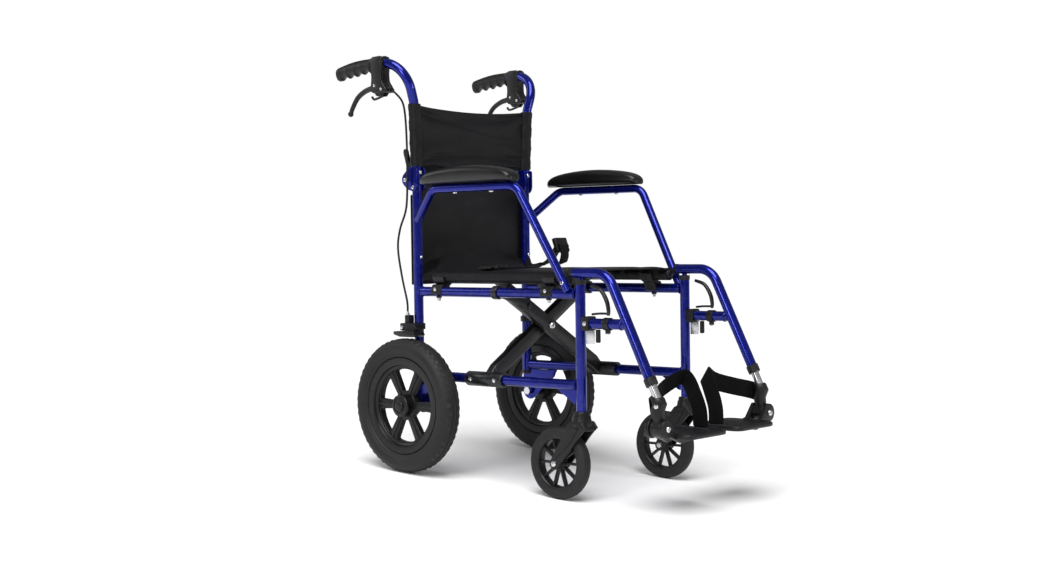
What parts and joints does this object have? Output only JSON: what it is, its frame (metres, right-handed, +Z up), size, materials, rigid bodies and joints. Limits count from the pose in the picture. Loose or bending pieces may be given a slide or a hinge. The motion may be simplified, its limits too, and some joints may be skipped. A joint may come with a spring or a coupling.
{
  "type": "manual wheelchair",
  "caption": "Folding attendant-pushed wheelchair with a royal blue tube frame, black sling seat and back, padded armrests, hand brakes and swing-away footrests",
  "frame": {"origin": "bottom centre of the bounding box, on the floor", "axes": "+Z up, +Y toward the push handles (rear), +X the rider's left"},
  "size_m": [0.5304, 0.9981, 0.9418],
  "materials": {
    "blue_paint": "metallic gloss",
    "black_nylon": "woven matte",
    "black_plastic": "matte",
    "black_rubber": "matte",
    "black_steel": "satin black",
    "pad_vinyl": "soft satin foam skin",
    "bright_steel": "plated"
  },
  "bodies": {
    "frame_right": {"rear_upright_right": "blue_paint", "seat_side_tube_right": "blue_paint", "lower_side_tube_right": "blue_paint", "front_post_right": "blue_paint", "armrest_tube_right": "blue_paint", "armrest_pad_right": "pad_vinyl", "axle_plate_right": "blue_paint", "wheel_brake_bracket_right": "black_plastic", "brake_cable_right": "black_rubber", "back_sling_lower": "black_nylon"},
    "frame_left": {"rear_upright_left": "blue_paint", "seat_side_tube_left": "blue_paint", "lower_side_tube_left": "blue_paint", "front_post_left": "blue_paint", "armrest_tube_left": "blue_paint", "armrest_pad_left": "pad_vinyl", "axle_plate_left": "blue_paint", "wheel_brake_bracket_left": "black_plastic", "brake_cable_left": "black_rubber", "seat_belt": "black_nylon"},
    "brace_a": {"cross_brace_right": "black_steel", "seat_tube_left": "black_steel", "seat_sling": "black_nylon"},
    "brace_b": {"cross_brace_left": "black_steel", "seat_tube_right": "black_steel"},
    "link_right": {"brace_link_right": "black_steel"},
    "back_right": {"back_cane_right": "blue_paint", "hand_grip_right": "black_rubber", "brake_housing_right": "black_plastic", "back_sling_upper": "black_nylon"},
    "back_release_right": {"back_release_lever_right": "black_plastic"},
    "brake_lever_right_arm": {"brake_lever_right": "black_plastic"},
    "brake_lock_right": {"brake_lock_hook_right": "black_plastic"},
    "brake_shoe_right": {"wheel_brake_shoe_right": "black_steel"},
    "hanger_right": {"hanger_frame_right": "blue_paint"},
    "hanger_release_right": {"hanger_release_lever_right": "black_steel"},
    "footrest_right": {"footrest_tube_right": "bright_steel", "heel_loop_right": "black_nylon"},
    "footplate_right_flap": {"footplate_right": "black_plastic"},
    "caster_fork_right_swivel": {"caster_fork_right": "black_plastic"},
    "caster_right": {"caster_wheel_right": "black_rubber"},
    "rear_wheel_right": {"rear_rim_right": "black_plastic", "rear_tyre_right": "black_rubber"},
    "link_left": {"brace_link_left": "black_steel"},
    "back_left": {"back_cane_left": "blue_paint", "hand_grip_left": "black_rubber", "brake_housing_left": "black_plastic"},
    "back_release_left": {"back_release_lever_left": "black_plastic"},
    "brake_lever_left_arm": {"brake_lever_left": "black_plastic"},
    "brake_lock_left": {"brake_lock_hook_left": "black_plastic"},
    "brake_shoe_left": {"wheel_brake_shoe_left": "black_steel"},
    "hanger_left": {"hanger_frame_left": "blue_paint"},
    "hanger_release_left": {"hanger_release_lever_left": "black_steel"},
    "footrest_left": {"footrest_tube_left": "bright_steel", "heel_loop_left": "black_nylon"},
    "footplate_left_flap": {"footplate_left": "black_plastic"},
    "caster_fork_left_swivel": {"caster_fork_left": "black_plastic"},
    "caster_left": {"caster_wheel_left": "black_rubber"},
    "rear_wheel_left": {"rear_rim_left": "black_plastic", "rear_tyre_left": "black_rubber"}
  },
  "joints": [
    {"name": "fold", "type": "hinge", "parent": "frame_right", "child": "brace_a", "pos_m": [-0.185, 0.03481, 0.23034], "axis": [0, -0.9979, 0.0645], "range_deg": [0, 35.4], "deforming": ["seat_sling", "back_sling_upper", "back_sling_lower", "seat_belt"]},
    {"name": "brace_cross", "type": "hinge", "parent": "brace_a", "child": "brace_b", "pos_m": [0, 0.0315, 0.34178], "axis": [0, -0.9979, 0.0645], "range_deg": [-70.8, 0]},
    {"name": "frame_left_hinge", "type": "hinge", "parent": "brace_b", "child": "frame_left", "pos_m": [0.185, 0.01386, 0.23169], "axis": [0, -0.9979, 0.0645], "range_deg": [0, 35.4]},
    {"name": "link_right", "type": "hinge", "parent": "frame_right", "child": "link_right", "pos_m": [-0.185, 0.01344, 0.42362], "axis": [0, -0.9979, 0.0645], "range_deg": [0, 75.8]},
    {"name": "back_fold_right", "type": "hinge", "parent": "frame_right", "child": "back_right", "pos_m": [-0.185, 0.29817, 0.66124], "axis": [-1, 0, 0], "range_deg": [0, 95], "deforming": ["brake_cable_right"]},
    {"name": "back_release_right", "type": "hinge", "parent": "back_right", "child": "back_release_right", "pos_m": [-0.185, 0.29407, 0.68305], "axis": [-1, 0, 0], "range_deg": [0, 12], "stiffness_Nm_per_rad": 0.2},
    {"name": "brake_lever_right", "type": "hinge", "parent": "back_right", "child": "brake_lever_right_arm", "pos_m": [-0.231, 0.36001, 0.87369], "axis": [1, 0, 0], "range_deg": [0, 25], "stiffness_Nm_per_rad": 0.6},
    {"name": "brake_lock_right", "type": "hinge", "parent": "back_right", "child": "brake_lock_right", "pos_m": [-0.231, 0.34658, 0.85201], "axis": [-1, 0, 0], "range_deg": [0, 30]},
    {"name": "brake_shoe_right", "type": "hinge", "parent": "frame_right", "child": "brake_shoe_right", "pos_m": [-0.215, 0.26763, 0.31298], "axis": [1, 0, 0], "range_deg": [0, 5]},
    {"name": "hanger_swing_right", "type": "hinge", "parent": "frame_right", "child": "hanger_right", "pos_m": [-0.185, -0.21993, 0.4827], "axis": [0, -0.0645, -0.9979], "range_deg": [0, 90]},
    {"name": "hanger_release_right", "type": "hinge", "parent": "hanger_right", "child": "hanger_release_right", "pos_m": [-0.185, -0.29846, 0.4012], "axis": [-1, 0, 0], "range_deg": [0, 8], "stiffness_Nm_per_rad": 0.3},
    {"name": "footrest_slide_right", "type": "slide", "parent": "hanger_right", "child": "footrest_right", "axis": [0, -0.5023, -0.8647], "range_m": [0, 0.06]},
    {"name": "footplate_right", "type": "hinge", "parent": "footrest_right", "child": "footplate_right_flap", "pos_m": [-0.185, -0.44017, 0.18389], "axis": [0, -0.9979, 0.0645], "range_deg": [0, 88.5], "deforming": ["heel_loop_right"]},
    {"name": "caster_swivel_right", "type": "hinge", "parent": "frame_right", "child": "caster_fork_right_swivel", "pos_m": [-0.185, -0.23866, 0.19311], "axis": [0, 0.0645, 0.9979], "continuous": true},
    {"name": "caster_roll_right", "type": "hinge", "parent": "caster_fork_right_swivel", "child": "caster_right", "pos_m": [-0.185, -0.18554, 0.077], "axis": [1, 0, 0], "continuous": true},
    {"name": "rear_wheel_right", "type": "hinge", "parent": "frame_right", "child": "rear_wheel_right", "pos_m": [-0.2362, 0.2312, 0.1525], "axis": [1, 0, 0], "continuous": true},
    {"name": "link_left", "type": "hinge", "parent": "frame_left", "child": "link_left", "pos_m": [0.185, 0.05994, 0.42061], "axis": [0, 0.9979, -0.0645], "range_deg": [0, 75.8]},
    {"name": "back_fold_left", "type": "hinge", "parent": "frame_left", "child": "back_left", "pos_m": [0.185, 0.29817, 0.66124], "axis": [-1, 0, 0], "range_deg": [0, 95], "deforming": ["brake_cable_left"]},
    {"name": "back_release_left", "type": "hinge", "parent": "back_left", "child": "back_release_left", "pos_m": [0.185, 0.29407, 0.68305], "axis": [-1, 0, 0], "range_deg": [0, 12], "stiffness_Nm_per_rad": 0.2},
    {"name": "brake_lever_left", "type": "hinge", "parent": "back_left", "child": "brake_lever_left_arm", "pos_m": [0.231, 0.36001, 0.87369], "axis": [1, 0, 0], "range_deg": [0, 25], "stiffness_Nm_per_rad": 0.6},
    {"name": "brake_lock_left", "type": "hinge", "parent": "back_left", "child": "brake_lock_left", "pos_m": [0.231, 0.34658, 0.85201], "axis": [-1, 0, 0], "range_deg": [0, 30]},
    {"name": "brake_shoe_left", "type": "hinge", "parent": "frame_left", "child": "brake_shoe_left", "pos_m": [0.215, 0.26763, 0.31298], "axis": [1, 0, 0], "range_deg": [0, 5]},
    {"name": "hanger_swing_left", "type": "hinge", "parent": "frame_left", "child": "hanger_left", "pos_m": [0.185, -0.21993, 0.4827], "axis": [0, 0.0645, 0.9979], "range_deg": [0, 90]},
    {"name": "hanger_release_left", "type": "hinge", "parent": "hanger_left", "child": "hanger_release_left", "pos_m": [0.185, -0.29846, 0.4012], "axis": [-1, 0, 0], "range_deg": [0, 8], "stiffness_Nm_per_rad": 0.3},
    {"name": "footrest_slide_left", "type": "slide", "parent": "hanger_left", "child": "footrest_left", "axis": [0, -0.5023, -0.8647], "range_m": [0, 0.06]},
    {"name": "footplate_left", "type": "hinge", "parent": "footrest_left", "child": "footplate_left_flap", "pos_m": [0.185, -0.44017, 0.18389], "axis": [0, 0.9979, -0.0645], "range_deg": [0, 88.5], "deforming": ["heel_loop_left"]},
    {"name": "caster_swivel_left", "type": "hinge", "parent": "frame_left", "child": "caster_fork_left_swivel", "pos_m": [0.185, -0.23866, 0.19311], "axis": [0, 0.0645, 0.9979], "continuous": true},
    {"name": "caster_roll_left", "type": "hinge", "parent": "caster_fork_left_swivel", "child": "caster_left", "pos_m": [0.185, -0.18554, 0.077], "axis": [1, 0, 0], "continuous": true},
    {"name": "rear_wheel_left", "type": "hinge", "parent": "frame_left", "child": "rear_wheel_left", "pos_m": [0.2362, 0.2312, 0.1525], "axis": [1, 0, 0], "continuous": true}
  ],
  "couplings": [
    {"joint": "brace_cross", "follows": "fold", "ratio": -2},
    {"joint": "frame_left_hinge", "follows": "fold", "ratio": 1},
    {"joint": "link_right", "follows": "fold", "ratio": 2.14},
    {"joint": "brake_shoe_right", "follows": "brake_lever_right", "ratio": 0.2},
    {"joint": "footplate_right", "follows": "fold", "ratio": 2.5},
    {"joint": "link_left", "follows": "fold", "ratio": 2.14},
    {"joint": "brake_shoe_left", "follows": "brake_lever_left", "ratio": 0.2},
    {"joint": "footplate_left", "follows": "fold", "ratio": 2.5},
    {"joint": "back_fold_left", "follows": "back_fold_right", "ratio": 1}
  ]
}
